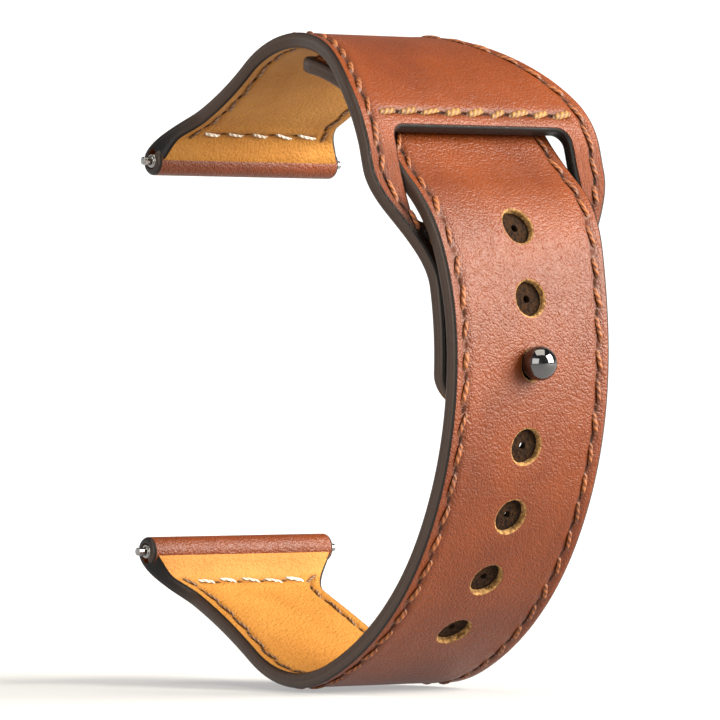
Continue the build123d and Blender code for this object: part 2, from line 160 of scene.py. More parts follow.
loopLine = follow(*loopShape["start"], radians(loopShape["heading"]), loopShape["arcs"])
shortLine = stretchOf(loopLine, 0, loopShape["stud"] + loopShape["tailReach"])
leavePlace = loopShape["crossing"] - loopShape["crossingHalf"]
arrivePlace = loopShape["crossing"] + loopShape["crossingHalf"]
insideLine = stretchOf(loopLine, loopShape["freeEnd"], leavePlace, loopShape["insideLift"])
crossingLine = join(
    pointOn(loopLine, leavePlace, loopShape["insideLift"]),
    pointOn(loopLine, arrivePlace, loopShape["outsideLift"]),
)
toStudLine = stretchOf(loopLine, arrivePlace, loopShape["stud"], loopShape["outsideLift"])
pastStudLine = stretchOf(loopLine, loopShape["stud"], lineLength(loopLine), loopShape["outsideLift"])
longLine = insideLine + crossingLine + toStudLine + pastStudLine
shortLength = lineLength(shortLine)
longLength = lineLength(longLine)
studOnLong = lineLength(insideLine + crossingLine + toStudLine)
slotOnLong = lineLength(insideLine) + lineLength(crossingLine) / 2
print("lines laid out", round(shortLength, 2), round(longLength, 2))


# A share eased at both ends: 3 times its square less twice its cube
def ease(share):
    share = np.clip(share, 0, 1)
    return share * share * (3 - 2 * share)


def easeBetween(value, start, end):
    return ease((value - start) / (end - start))


# Half widths: wide at the bar, easing to the neck or waist and out again. The long piece is wider by a bell
# curve where it is squeezed through the slot.
def shortHalf(place):
    s = shortShape
    width = s["lugHalf"] + ease(place / s["flare"]) * (s["neckHalf"] - s["lugHalf"])
    width += easeBetween(place, s["neckEnd"], s["shoulderStart"]) * (s["shoulderHalf"] - s["neckHalf"])
    return width + easeBetween(place, s["shoulderEnd"], s["taperEnd"]) * (s["tailHalf"] - s["shoulderHalf"])


def longHalf(place):
    s = longShape
    fromBar = longLength - place
    width = s["lugHalf"] + ease(fromBar / s["flare"]) * (s["waistHalf"] - s["lugHalf"])
    width += s["bulge"] * np.exp(-(((place - slotOnLong) / s["bulgeReach"]) ** 2))
    return width + easeBetween(fromBar, s["flare"], s["flare"] + s["growth"]) * (s["half"] - s["waistHalf"])


# Place, distance across and lift to a point: along the line, or round the bar beyond its end
def strapPoint(strap, place, across, lift):
    line, barPlace, side = strap["line"], strap["barPlace"], strap["side"]
    place, across, lift = np.broadcast_arrays(*(np.asarray(value, float) for value in (place, across, lift)))
    x, z, _ = pointOn(line, np.clip(place, 0, lineLength(line)), lift)
    barX, barZ, barHeading = pointOn(line, barPlace, layerShape["noseLift"])
    past = (place - barPlace) * side
    angle = np.clip(past, 0, None) / layerShape["nose"]
    radius = lift - layerShape["noseLift"]
    up, ahead = radius * np.cos(angle), side * radius * np.sin(angle)
    noseX = barX - up * np.sin(barHeading) + ahead * np.cos(barHeading)
    noseZ = barZ + up * np.cos(barHeading) + ahead * np.sin(barHeading)
    beyond = past > 0
    return np.stack([np.where(beyond, noseX, x), across, np.where(beyond, noseZ, z)], -1)


# Points of several runs in turn, each given by its coordinates
def runs(*parts):
    return np.concatenate([np.stack(part, -1) for part in parts])


# Stitch rows are arrays of place, distance across and angle to the line. An edge row follows both sides at
# the inset, turned by the slope of the half width.
def edgeRow(strap):
    s, half, first, last = stitchShape, strap["half"], strap["first"], strap["last"]
    count = round((last - first) / s["pitch"])
    place = first + (last - first) * np.arange(count + 1) / count
    across = half(place) - s["inset"]
    step = 0.05
    angle = np.arctan((half(place + step) - half(place - step)) / (2 * step))
    slant = radians(s["slant"])
    return runs((place, across, angle + slant), (place, -across, -angle - slant))


# Even steps from one side to the other
def crossRow(place, halfLength):
    s = stitchShape
    count = round(2 * halfLength / s["crossPitch"])
    across = halfLength * (2 * np.arange(count + 1) / count - 1)
    angle = pi / 2 + radians(s["slant"])
    return runs((np.full(count + 1, place), across, np.full(count + 1, angle)))


# Half an ellipse round the rounded end
def endRow(place, half, roundLength, side):
    s = stitchShape
    reach, spread = roundLength - s["inset"], half - s["inset"]
    count = round((2 * reach + spread) / s["pitch"])
    angle = np.pi * np.arange(1, count) / count - np.pi / 2
    tangent = np.arctan2(spread * np.cos(angle), -side * reach * np.sin(angle))
    tangent = tangent + radians(s["slant"])
    return runs((place + side * reach * np.cos(angle), spread * np.sin(angle), tangent))


# Distance across the nearest row, and the phase along it, a whole number in the middle of each stitch
def nearestRow(strap, place, across):
    s = stitchShape
    endPlace, endHalf, endRound, side = strap["end"]
    first, last = strap["first"], strap["last"]
    count = round((last - first) / s["pitch"])
    besideEdge = (place > first - s["rowMargin"]) & (place < last + s["rowMargin"])
    rows = [(
        np.where(besideEdge, strap["half"](place) - s["inset"] - np.abs(across), s["noRow"]),
        (place - first) / (last - first) * count,
    )]
    reach, spread = endRound - s["inset"], endHalf - s["inset"]
    a, b = side * (place - endPlace) / reach, across / spread
    ring = np.hypot(a, b)
    endCount = round((2 * reach + spread) / s["pitch"])
    rows.append((
        np.where(a > 0, (1 - ring) * np.hypot(a * reach, b * spread) / np.maximum(ring, 1e-6), s["noRow"]),
        (np.arctan2(b, a) + pi / 2) / pi * endCount,
    ))
    for rowPlace, halfLength in strap["crossRows"]:
        crossCount = round(2 * halfLength / s["crossPitch"])
        inside = np.abs(across) < halfLength + s["crossMargin"]
        distance = np.where(inside, place - rowPlace, s["noRow"])
        rows.append((distance, (across / halfLength + 1) / 2 * crossCount))
    distances, phases = (np.stack(values) for values in zip(*rows))
    nearest = np.argmin(np.abs(distances), 0)[None]
    return np.take_along_axis(distances, nearest, 0)[0], np.take_along_axis(phases, nearest, 0)[0]


def crossRowsAt(half, *places):
    inset, crossInset = stitchShape["inset"], stitchShape["crossInset"]
    return [(place, float(half(place)) - inset - crossInset) for place in places]


# Each strap piece: its line, its bar's place, which way lies beyond it, its half width, its rounded end as
# place, half width, length and side, and where its stitches start, end and cross
tailPlace = shortLength - shortShape["tailRound"]
lugRow = stitchShape["lugRow"]
shortStrap = {
    "line": shortLine, "barPlace": 0.0, "side": -1, "half": shortHalf,
    "end": (tailPlace, shortShape["tailHalf"], shortShape["tailRound"], 1),
    "first": lugRow, "last": tailPlace,
    "crossRows": crossRowsAt(shortHalf, lugRow, shortShape["slotStart"] - stitchShape["slotRow"]),
}
longStrap = {
    "line": longLine, "barPlace": longLength, "side": 1, "half": longHalf,
    "end": (longShape["tipRound"], longShape["half"], longShape["tipRound"], -1),
    "first": longShape["tipRound"], "last": longLength - lugRow,
    "crossRows": crossRowsAt(longHalf, longLength - lugRow),
}

# Points are welded where they round alike, shifted to keep round values off the edge
weldShape = {"perMillimetre": 1e4, "shift": 0.137, "sharpAngle": 48}


# Quads between the neighbouring points of one grid or several
def gridQuads(index):
    corners = [index[..., :-1, :-1], index[..., 1:, :-1], index[..., 1:, 1:], index[..., :-1, 1:]]
    return np.stack(corners, -1).reshape(-1, 4)


# Mesh from quads: points that meet are welded and keep their greatest marks, and quads that close up become
# triangles or go
def buildMesh(name, points, quads, marks, pointUv=None):
    keys = np.round(points * weldShape["perMillimetre"] + weldShape["shift"]).astype(np.int64)
    _, first, inverse = np.unique(keys, axis=0, return_index=True, return_inverse=True)
    quads = inverse.reshape(-1)[quads]
    same = quads == np.roll(quads, -1, axis=1)
    full = quads[~same.any(1)]
    triangles = [np.roll(quads[same[:, k] & (same.sum(1) == 1)], -k, axis=1)[:, 1:] for k in range(4)]
    triangles = np.concatenate(triangles)
    mesh = bpy.data.meshes.new(name)
    corners = np.concatenate([full.ravel(), triangles.ravel()]).astype(np.int32)
    totals = np.concatenate([np.full(len(full), 4), np.full(len(triangles), 3)]).astype(np.int32)
    starts = np.concatenate([[0], np.cumsum(totals)[:-1]]).astype(np.int32)
    mesh.vertices.add(len(first))
    mesh.vertices.foreach_set("co", (points[first] * millimetre).astype(np.float32).ravel())
    mesh.loops.add(len(corners))
    mesh.loops.foreach_set("vertex_index", corners)
    mesh.polygons.add(len(totals))
    mesh.polygons.foreach_set("loop_start", starts)
    mesh.update(calc_edges=True)
    mesh.validate()
    for key, values in marks.items():
        greatest = np.zeros(len(first))
        np.maximum.at(greatest, inverse.reshape(-1), values)
        mesh.attributes.new(key, "FLOAT", "POINT").data.foreach_set("value", greatest.astype(np.float32))
    outward = bmesh.new()
    outward.from_mesh(mesh)
    bmesh.ops.recalc_face_normals(outward, faces=outward.faces)
    outward.to_mesh(mesh)
    outward.free()
    if pointUv is not None:
        uvMap = mesh.uv_layers.new(name="strapMap")
        vertexOf = np.zeros(len(mesh.loops), np.int32)
        mesh.loops.foreach_get("vertex_index", vertexOf)
        uvMap.data.foreach_set("uv", pointUv[first][vertexOf].astype(np.float32).ravel())
    mesh.polygons.foreach_set("use_smooth", np.ones(len(mesh.polygons), bool))
    mesh.set_sharp_from_angle(angle=radians(weldShape["sharpAngle"]))
    piece = bpy.data.objects.new(name, mesh)
    bpy.context.scene.collection.objects.link(piece)
    return piece


# A sheet is one layer of a strap piece, gathered grid by grid
def newSheet(strap, surface):
    return {"strap": strap, "half": strap["half"], "surface": surface, "values": [], "quads": [], "count": 0}


# One grid of a sheet: equal arrays of place, across and lift, with its paint, its raw cut mask (painted hole
# shade on the lining) and relief
def addGrid(sheet, place, across, lift, paint=0.0, rawFibreAndHoleShade=0.0, relief=0.0):
    arrays = np.broadcast_arrays(*(np.asarray(v, float) for v in (place, across, lift, paint, rawFibreAndHoleShade, relief)))
    size = arrays[0].size
    sheet["values"].append(np.stack([array.ravel() for array in arrays], -1))
    sheet["quads"].append(gridQuads(np.arange(size).reshape(arrays[0].shape) + sheet["count"]))
    sheet["count"] += size


# The rim's profile: a quarter round from the surface, then the wall down to the seam.
# Rows of inset, lift and how far round.
def rimProfile(surface, radius):
    turn = np.linspace(0, pi / 2, sheetMesh["roundSteps"] + 1)
    side = 1 if surface > seam else -1
    inset = radius * (1 - np.sin(turn))
    lift = surface - side * radius * (1 - np.cos(turn))
    wall = np.linspace(lift[-1], seam, sheetMesh["wallSteps"] + 1)[1:]
    inset = np.concatenate([inset, np.zeros(len(wall))])
    share = np.concatenate([np.sin(turn), np.ones(len(wall))])
    return inset[:, None], np.concatenate([lift, wall])[:, None], share[:, None]


seam, edgeRound = layerShape["seam"], sheetMesh["edgeRound"]
# Sines of these turns put the points across closer together towards the sides
acrossTurn = np.linspace(-pi / 2, pi / 2, sheetMesh["across"] + 1)


def spaced(first, last, step):
    return np.linspace(first, last, max(ceil((last - first) / step), 1) + 1)


# The rims along both sides: the half width less the rim's inset
def addRims(sheet, places):
    inset, lift, share = rimProfile(sheet["surface"], edgeRound)
    for side in (-1, 1):
        across = side * (sheet["half"](places[None]) - inset)
        addGrid(sheet, places[None], across, lift, paint=share, relief=1 - share)


# A plain stretch: its surface, its hidden side on the seam, and its two rims
def addStretch(sheet, first, last, step="along"):
    places = spaced(first, last, sheetMesh[step])
    half = sheet["half"](places[:, None])
    addGrid(sheet, places[:, None], np.sin(acrossTurn) * (half - edgeRound), sheet["surface"], relief=1.0)
    addGrid(sheet, places[:, None], np.sin(acrossTurn) * half, seam)
    addRims(sheet, places)


# A rounded end: rows swell from a straight line across to a half ellipse
def addCap(sheet, paint=0.0):
    endPlace, half, length, side = sheet["strap"]["end"]
    swell = np.linspace(0, 1, max(ceil(length / sheetMesh["along"]), 2) + 1)[:, None]
    for inset, lift, relief in ((edgeRound, sheet["surface"], 1.0), (0.0, seam, 0.0)):
        place = endPlace + side * swell * (length - inset) * np.cos(acrossTurn)
        acrosses = (half - inset) * np.sin(acrossTurn) + 0 * swell
        addGrid(sheet, place, acrosses, lift, paint=paint * relief * swell, relief=relief)
    inset, lift, share = rimProfile(sheet["surface"], edgeRound)
    place = endPlace + side * (length - inset) * np.cos(acrossTurn)
    addGrid(sheet, place, (half - inset) * np.sin(acrossTurn), lift, paint=share, relief=1 - share)


# A straight end across the strap, hidden under the other layer
def addEndWall(sheet, place):
    inset, lift, share = rimProfile(sheet["surface"], edgeRound)
    half = float(sheet["half"](place))
    addGrid(sheet, place, np.sin(acrossTurn) * (half - inset), lift, relief=1 - share)


# Outline of one cell of the strap, inset at its sides, as four sides in turn
def cellOutline(half, first, last, inset):
    along = last + (first - last) * sideShares(first, last)
    ends = np.sin(acrossTurn)
    return runs(
        (np.full(len(ends), last), ends * (half(last) - inset)), (along, half(along) - inset),
        (np.full(len(ends), first), -ends * (half(first) - inset)), (along[::-1], inset - half(along[::-1])),
    )


def sideShares(first, last):
    return np.linspace(0, 1, ceil((last - first) / sheetMesh["along"]) + 1)


# A round hole stretched along the strap: a circle whose halves move apart
def holeOutline(centre, stretch, holeRadius, grown, shares):
    radius = holeRadius + grown
    ends = acrossTurn / 2
    sides = pi / 4 + pi / 2 * shares
    angle = np.concatenate([ends, sides, ends + pi, sides + pi])
    shift = np.clip(np.cos(angle) * sqrt(2), -1, 1) * stretch / 2
    return runs((centre + radius * np.cos(angle) + shift, radius * np.sin(angle)))


# The slot grown by some distance: straight sides and round corners, shared out between four sides
def slotOutline(grown, shares):
    s = shortShape
    centre = (s["slotStart"] + s["slotEnd"]) / 2
    halfLength = (s["slotEnd"] - s["slotStart"]) / 2 + grown
    halfWidth = s["shoulderHalf"] - s["slotArm"] + grown
    corner = s["slotCorner"] + grown

    def sideOf(share, reach, along):
        run = share * (along - corner + corner * pi / 4)
        angle = np.clip(np.abs(run) - (along - corner), 0, None) / corner
        straight = np.minimum(np.abs(run), along - corner)
        return reach - corner * (1 - np.cos(angle)), np.sign(run) * (straight + corner * np.sin(angle))

    endReach, endAcross = sideOf(np.sin(acrossTurn), halfLength, halfWidth)
    sideReach, sideAlong = sideOf(1 - 2 * shares, halfWidth, halfLength)
    return runs(
        (centre + endReach, endAcross), (centre + sideAlong, sideReach),
        (centre - endReach, -endAcross), (centre - sideAlong, -sideReach),
    )


# A cell with an opening: lines run from the opening's outline to the cell's, and the opening has a rim. The
# raw mask covers the rim and the hidden side of the cell; on the lining its colour is painted hole shade.
def addPierced(sheet, first, last, opening, rimRadius, paint, rawFibreAndHoleShade):
    half, surface = sheet["half"], sheet["surface"]
    shares = sideShares(first, last)
    for grown, inset, lift, relief, rings in (
        (rimRadius, edgeRound, surface, 1.0, sheetMesh["rings"]), (0.0, 0.0, seam, 0.0, 1),
    ):
        ring = np.linspace(0, 1, rings + 1)[:, None, None]
        inner, outer = opening(grown, shares)[None], cellOutline(half, first, last, inset)[None]
        both = inner + (outer - inner) * ring
        addGrid(sheet, both[..., 0], both[..., 1], lift, rawFibreAndHoleShade=(1 - relief) * rawFibreAndHoleShade, relief=relief)
    inset, lift, turned = rimProfile(surface, rimRadius)
    rim = np.stack([opening(float(grown), shares) for grown in inset[:, 0]])
    addGrid(sheet, rim[..., 0], rim[..., 1], lift, paint=turned * paint, rawFibreAndHoleShade=turned * rawFibreAndHoleShade, relief=1 - turned)
    addRims(sheet, last + (first - last) * shares)


# By the thread: widths of groove, needle holes and swelling, their heights as shares of each layer's depth,
# and how far from the bar the edge turns from charcoal to brown
rowShape = {
    "groove": 0.36, "needle": 0.20, "needlePower": 3, "swellAt": 0.95, "swell": 0.5, "swellHeight": 0.3,
    "needleDepth": 0.8, "face": 0.13, "back": 0.09, "barFade": (1.5, 7.5),
}

# On the short piece: where shade grows on the tail under the long piece, and creases on the slot's arms
armShape = {
    "shadeAlong": (49.5, 54.0), "shadeAcross": (-11.5, -6.5),
    "creaseMiddle": 49.5, "creaseAlong": (7.0, 3.0), "creaseAcross": (9.5, 11.0),
}


# Rows of stitches: a groove that is a bell curve of the distance across it, a deeper bell at each needle
# hole, and a swelling beside it. The lining lifts further from the seam as the place nears the bar.
def finishSheet(name, sheet, depth):
    s, strap, surface = rowShape, sheet["strap"], sheet["surface"]
    quads = np.concatenate(sheet["quads"])
    place, across, lift, paint, rawFibreAndHoleShade, relief = np.concatenate(sheet["values"]).T
    fromBar = np.abs(place - strap["barPlace"])
    distance, phase = nearestRow(strap, place, across)
    groove = np.exp(-((distance / s["groove"]) ** 2)) * relief
    between = (0.5 - 0.5 * np.cos(2 * pi * phase)) ** s["needlePower"]
    needle = np.exp(-((distance / s["needle"]) ** 2)) * between * relief
    swell = np.exp(-(((np.abs(distance) - s["swellAt"]) / s["swell"]) ** 2)) * relief
    side = 1 if surface > seam else -1
    lift = lift + side * depth * (s["swellHeight"] * swell - groove - s["needleDepth"] * needle)
    if surface < seam:
        pad = easeBetween(fromBar, layerShape["padStart"], layerShape["liningStart"])
        lift = seam + (lift - seam) * (1 + layerShape["pad"] * pad)
    barEnd = 1 - easeBetween(fromBar, *s["barFade"])
    # The groove and needle masks also go to the colour, as painted shade in the stitch rows
    marks = {"paint": paint, "rawCutAndHoleShade": rawFibreAndHoleShade, "groove": groove, "needle": needle, "barEnd": barEnd}
    if strap is shortStrap and surface > seam:
        a = armShape
        marks["shade"] = easeBetween(place, *a["shadeAlong"]) * easeBetween(-across, *a["shadeAcross"])
        along = easeBetween(np.abs(place - a["creaseMiddle"]), *a["creaseAlong"])
        marks["crease"] = along * easeBetween(np.abs(across), *a["creaseAcross"])
    points = strapPoint(strap, place, across, lift)
    print("leather built", name, len(quads))
    return buildMesh(name, points, quads, marks, np.stack([place, across], -1))


def shortSheet(name, layer, start):
    s = shortShape
    sheet = newSheet(shortStrap, layerShape[layer])
    cellStart, cellEnd = s["slotStart"] - s["slotMargin"], s["slotEnd"] + s["slotMargin"]
    if start < 0:
        addStretch(sheet, start, 0.0, "noseAlong")
    addStretch(sheet, max(start, 0.0), cellStart)
    addPierced(sheet, cellStart, cellEnd, slotOutline, edgeRound, sheetMesh["slotPaint"], 0.0)
    addStretch(sheet, cellEnd, tailPlace)
    addCap(sheet)
    addEndWall(sheet, start)
    return finishSheet(name, sheet, rowShape[layer])


def longSheet(name, layer, end):
    s = longShape
    sheet = newSheet(longStrap, layerShape[layer])
    nominal = studOnLong + s["stretch"] + (np.arange(s["holes"]) - s["studHole"]) * s["holePitch"]
    reach = s["holePitch"] / 2
    addCap(sheet, 1.0)
    addStretch(sheet, s["tipRound"], nominal[0] - reach)
    holes = [(place, 0.0, s["holeRadius" if layer == "face" else "liningHoleRadius"]) for place in nominal]
    holes[s["studHole"]] = (studOnLong + s["studHoleShift"], s["studHoleStretch"], s["studHoleRadius"])
    for place, hole in zip(nominal, holes):
        addPierced(
            sheet, place - reach, place + reach,
            lambda grown, shares, hole=hole: holeOutline(*hole, grown, shares),
            sheetMesh["holeRound"], 0.0, 1.0,
        )
    addStretch(sheet, nominal[-1] + reach, min(end, longLength))
    if end > longLength:
        addStretch(sheet, longLength, end, "noseAlong")
    addEndWall(sheet, end)
    return finishSheet(name, sheet, rowShape[layer])


noseWrap = layerShape["nose"] * layerShape["noseTurn"]
liningStart = layerShape["liningStart"]
shortFaceLeather = shortSheet("shortFaceLeather", "face", -noseWrap)
shortLining = shortSheet("shortLining", "back", liningStart)
longFaceLeather = longSheet("longFaceLeather", "face", longLength + noseWrap)
longLining = longSheet("longLining", "back", longLength - liningStart)

# Thread: lengths in millimetres, height as a share of the width, wanders as shares or lengths
threadShape = {
    "length": 2.60, "height": 0.72, "arch": 0.05, "sink": 0.16, "steps": 7, "sides": 8,
    "wander": 0.10, "turnWander": 0.07, "placeWander": 0.05, "acrossWander": 0.04,
    "crossWidth": 1.25, "shortWidth": 0.52, "longWidth": 0.48, "liningWidth": 0.30,
}


# Each stitch is an ellipse that narrows towards both ends, arched in the middle and sunk at the ends
def addThread(name, strap, layer, width, seed):
    s = threadShape
    random = np.random.default_rng(seed)
    rows = [(edgeRow(strap), 1.0), (endRow(*strap["end"]), 1.0)]
    rows += [(crossRow(*row), s["crossWidth"]) for row in strap["crossRows"]]
    place, across, angle = (column[:, None, None] for column in np.concatenate([row for row, _ in rows]).T)
    thick = np.concatenate([np.full(len(row), width) for row, width in rows])[:, None, None]
    count = len(place)
    wander = random.normal(0, 1, (5, count, 1, 1))
    run = np.linspace(-1, 1, s["steps"])[None, :, None]
    turn = np.linspace(0, 2 * pi, s["sides"] + 1)[None, None]
    girth = np.clip(1 - np.abs(run) ** 3, 0, 1) ** 0.5 * (1 + s["wander"] * wander[0]) * thick
    angle = angle + s["turnWander"] * wander[1]
    ahead = run * s["length"] / 2 * (1 + s["wander"] * wander[2])
    aside = girth * s[width] / 2 * np.cos(turn)
    rise = girth * s[width] * s["height"] / 2 * np.sin(turn)
    rise = rise + s["arch"] * (1 - run**2) - s["sink"] * run**4
    places = place + ahead * np.cos(angle) - aside * np.sin(angle) + s["placeWander"] * wander[3]
    acrosses = across + ahead * np.sin(angle) + aside * np.cos(angle) + s["acrossWander"] * wander[4]
    side = 1 if layer == "face" else -1
    points = strapPoint(strap, places, acrosses, layerShape[layer] + side * rise)
    shape = points.shape[:3]
    quads = gridQuads(np.arange(np.prod(shape)).reshape(shape))
    print("stitched", name, len(quads))
    spot = np.stack(np.broadcast_arrays(ahead, turn), -1).reshape(-1, 2)
    marks = {"tint": random.uniform(0, 1, (count, 1, 1)), "sunk": np.abs(run) ** 6, "gold": thick > 1}
    marks = {key: np.broadcast_to(values, shape).ravel() for key, values in marks.items()}
    return buildMesh(name, points.reshape(-1, 3), quads, marks, spot)


shortFaceThread = addThread("shortFaceThread", shortStrap, "face", "shortWidth", 3)
shortLiningThread = addThread("shortLiningThread", shortStrap, "back", "liningWidth", 5)
longFaceThread = addThread("longFaceThread", longStrap, "face", "longWidth", 7)
longLiningThread = addThread("longLiningThread", longStrap, "back", "liningWidth", 11)


# A turned piece: its half outline, as radii and distances along the axis, carried round the axis
def turnedPiece(name, centre, axis, radii, reaches, sides):
    axis = np.asarray(axis, float)
    spread = np.array([0.0, 1.0, 0.0]) if abs(axis[1]) < 0.5 else np.array([1.0, 0.0, 0.0])
    third = np.cross(axis, spread)
    turn = np.linspace(0, 2 * pi, sides + 1)[None, :, None]
    radii, reaches = (np.asarray(values, float)[:, None, None] for values in (radii, reaches))
    ring = radii * (np.cos(turn) * spread + np.sin(turn) * third)
    points = np.asarray(centre, float) + reaches * axis + ring
    quads = gridQuads(np.arange(points[..., 0].size).reshape(points.shape[:2]))
    return buildMesh(name, points.reshape(-1, 3), quads, {})


# Corners of an outline rounded: each is a curve between points on its two sides, at most a share along them
def roundedOutline(corners, radius, steps, mostShare=0.45):
    corners = np.asarray(corners, float)
    share = np.linspace(0, 1, steps + 1)[:, None]
    parts = [corners[:1]]
    for before, corner, after in zip(corners[:-2], corners[1:-1], corners[2:]):
        into, out = before - corner, after - corner
        reach = min(radius, mostShare * np.hypot(*into), mostShare * np.hypot(*out))
        start = corner + into / np.hypot(*into) * reach
        end = corner + out / np.hypot(*out) * reach
        parts.append((1 - share) ** 2 * start + 2 * share * (1 - share) * corner + share**2 * end)
    return np.concatenate([*parts, corners[-1:]])


# Stud: a round head on a neck and foot, its shank through the tail. Outlines are pairs of radius and height.
studShape = {
    "top": 5.32, "belt": 3.72, "rim": 2.82, "beltRadius": 1.62, "rimRadius": 1.33,
    "neck": [(1.33, 2.82), (1.10, 2.82), (1.10, 1.05)], "foot": [(2.00, 1.05), (2.00, 0.70)],
    "shank": [(1.30, 0.70), (1.30, -0.65)], "bore": [(0.80, -0.65), (0.80, 1.05), (0, 1.05)],
    "round": 0.12, "headSteps": 25, "roundSteps": 5, "sides": 96,
}


# The head is a quarter ellipse above its belt and another below it, down to the rim
def studOutline():
    s = studShape
    turn = np.linspace(0, pi / 2, s["headSteps"])
    head = runs(
        (s["beltRadius"] * np.sin(turn), s["belt"] + (s["top"] - s["belt"]) * np.cos(turn)),
        (
            (s["rimRadius"] + (s["beltRadius"] - s["rimRadius"]) * np.cos(turn))[1:],
            (s["belt"] - (s["belt"] - s["rim"]) * np.sin(turn))[1:],
        ),
    )
    corners = s["neck"] + s["foot"] + s["shank"] + s["bore"]
    return np.concatenate([head, roundedOutline(corners, s["round"], s["roundSteps"])[1:]])


studX, studZ, studHeading = (float(value) for value in pointOn(loopLine, loopShape["stud"]))
studAxis = (-sin(studHeading), 0, cos(studHeading))
stud = turnedPiece("studBall", (studX, 0, studZ), studAxis, *studOutline().T, studShape["sides"])

# Tips of the spring bars: their outline as pairs of radius and distance from the bar's middle
tipShape = {
    "piston": [(0, 7.35), (0.57, 7.35), (0.57, 8.75)], "stem": [(0.40, 8.75), (0.40, 10.45)],
    "shoulder": [(0.70, 10.45), (0.70, 11.0)], "pin": [(0.40, 11.0), (0.40, 12.0), (0, 12.0)],
    "round": 0.12, "roundSteps": 4, "sides": 40,
}


def barTip(name, barX, barZ, side):
    s = tipShape
    corners = s["piston"] + s["stem"] + s["shoulder"] + s["pin"]
    outline = roundedOutline(corners, s["round"], s["roundSteps"])
    return turnedPiece(name, (barX, 0, barZ), (0, side, 0), *outline.T, s["sides"])


barTips = {}
for bar, line, place in (("upper", loopLine, 0.0), ("lower", longLine, longLength)):
    barX, barZ, _ = (float(value) for value in pointOn(line, place, layerShape["noseLift"]))
    for end, side in (("front", -1), ("back", 1)):
        barTips[f"{bar}_{end}_tip"] = barTip(f"{bar}{end.title()}Tip", barX, barZ, side)
print("metal turned")


# A node's inputs are values or other nodes' outputs
def connect(tree, node, inputs):
    for key, value in inputs.items():
        if isinstance(value, bpy.types.NodeSocket):
            tree.links.new(value, node.inputs[key])
        else:
            node.inputs[key].default_value = value


def addNode(tree, kind, inputs, **settings):
    node = tree.nodes.new("ShaderNode" + kind)
    for key, value in settings.items():
        setattr(node, key, value)
    connect(tree, node, inputs)
    return node


def newGroup(name, inputs, outputs):
    tree = bpy.data.node_groups.new(name, "ShaderNodeTree")
    for direction, sockets in (("INPUT", inputs), ("OUTPUT", outputs)):
        for socket, kind in sockets.items():
            tree.interface.new_socket(socket, in_out=direction, socket_type="NodeSocket" + kind)
    return tree, tree.nodes.new("NodeGroupInput").outputs, tree.nodes.new("NodeGroupOutput").inputs


def mathNode(tree, operation, *values):
    return addNode(tree, "Math", dict(enumerate(values)), operation=operation).outputs[0]


def times(tree, first, second):
    return mathNode(tree, "MULTIPLY", first, second)


def vectorNode(tree, operation, first, second, output="Vector"):
    return addNode(tree, "VectorMath", {0: first, 1: second}, operation=operation).outputs[output]


def mixColours(tree, share, first, second):
    return addNode(tree, "Mix", {0: share, 6: first, 7: second}, data_type="RGBA").outputs[2]


def noise(tree, vector, scale, detail=3.0, rough=0.55):
    inputs = {"Vector": vector, "Scale": scale, "Detail": detail, "Roughness": rough}
    return addNode(tree, "TexNoise", inputs).outputs["Fac"]


def rampBetween(tree, value, low, high):
    inputs = {"Value": value, "From Min": low, "From Max": high}
    return addNode(tree, "MapRange", inputs, interpolation_type="SMOOTHSTEP").outputs[0]


def bumpOf(tree, height, distance):
    return addNode(tree, "Bump", {"Height": height, "Distance": distance}).outputs[0]


def attribute(tree, name):
    return addNode(tree, "Attribute", {}, attribute_name=name).outputs["Fac"]


grainShape = {
    "bendScale": 700.0, "bend": 0.0009, "pebblePower": 1.6, "pebble": 0.65, "fineScale": 6500.0, "fine": 0.40,
    "hairAngle": 0.65, "hairSqueeze": (4.2, 1.3, 1.0), "foldSqueeze": (0.55, 2.6, 1.0), "fold": 5.0,
    "mottleScale": 120.0, "mottleFine": 0.35, "tone": (0.30, 1.05),
}


# Leather grain: rounded cells bent by slow noise, fine noise, slanting hair lines drawn out by squeezing the
# strap's own coordinates, and folds on the slot's arms. The height is their sum, and the tone slow mottling.
def leatherGrain():
    s = grainShape
    tree, given, wanted = newGroup(
        "leatherGrain", {"Pebble Scale": "Float", "Wrinkle": "Float"}, {"Height": "Float", "Tone": "Float"},
    )
    coordinates = addNode(tree, "TexCoord", {})
    where, strap = coordinates.outputs["Object"], coordinates.outputs["UV"]
    bendInputs = {"Vector": where, "Scale": s["bendScale"], "Detail": 2.0}
    bend = addNode(tree, "TexNoise", bendInputs).outputs["Color"]
    bent = addNode(tree, "VectorMath", {0: bend, "Scale": s["bend"]}, operation="SCALE").outputs[0]
    bent = vectorNode(tree, "ADD", where, bent)
    cells = addNode(tree, "TexVoronoi", {"Vector": bent, "Scale": given["Pebble Scale"]}).outputs["Distance"]
    pebble = mathNode(tree, "SUBTRACT", 1.0, mathNode(tree, "POWER", cells, s["pebblePower"]))
    pebble = times(tree, pebble, s["pebble"])
    fine = noise(tree, where, s["fineScale"], 4.0)
    turned = {"Vector": strap, "Angle": s["hairAngle"]}
    slanted = addNode(tree, "VectorRotate", turned, rotation_type="Z_AXIS").outputs[0]
    drawn = vectorNode(tree, "MULTIPLY", slanted, s["hairSqueeze"])
    hairs = times(tree, noise(tree, drawn, 1.0, 3.0, 0.6), given["Wrinkle"])
    height = mathNode(tree, "ADD", pebble, times(tree, fine, s["fine"]))
    height = mathNode(tree, "ADD", height, hairs)
    folds = vectorNode(tree, "MULTIPLY", strap, s["foldSqueeze"])
    folds = times(tree, noise(tree, folds, 1.0, 5.0, 0.65), attribute(tree, "crease"))
    folds = times(tree, folds, s["fold"])
    tree.links.new(mathNode(tree, "ADD", height, folds), wanted["Height"])
    mottleFine = times(tree, fine, s["mottleFine"])
    mottle = mathNode(tree, "ADD", noise(tree, where, s["mottleScale"], 4.0), mottleFine)
    tree.links.new(rampBetween(tree, mottle, *s["tone"]), wanted["Tone"])
    return tree


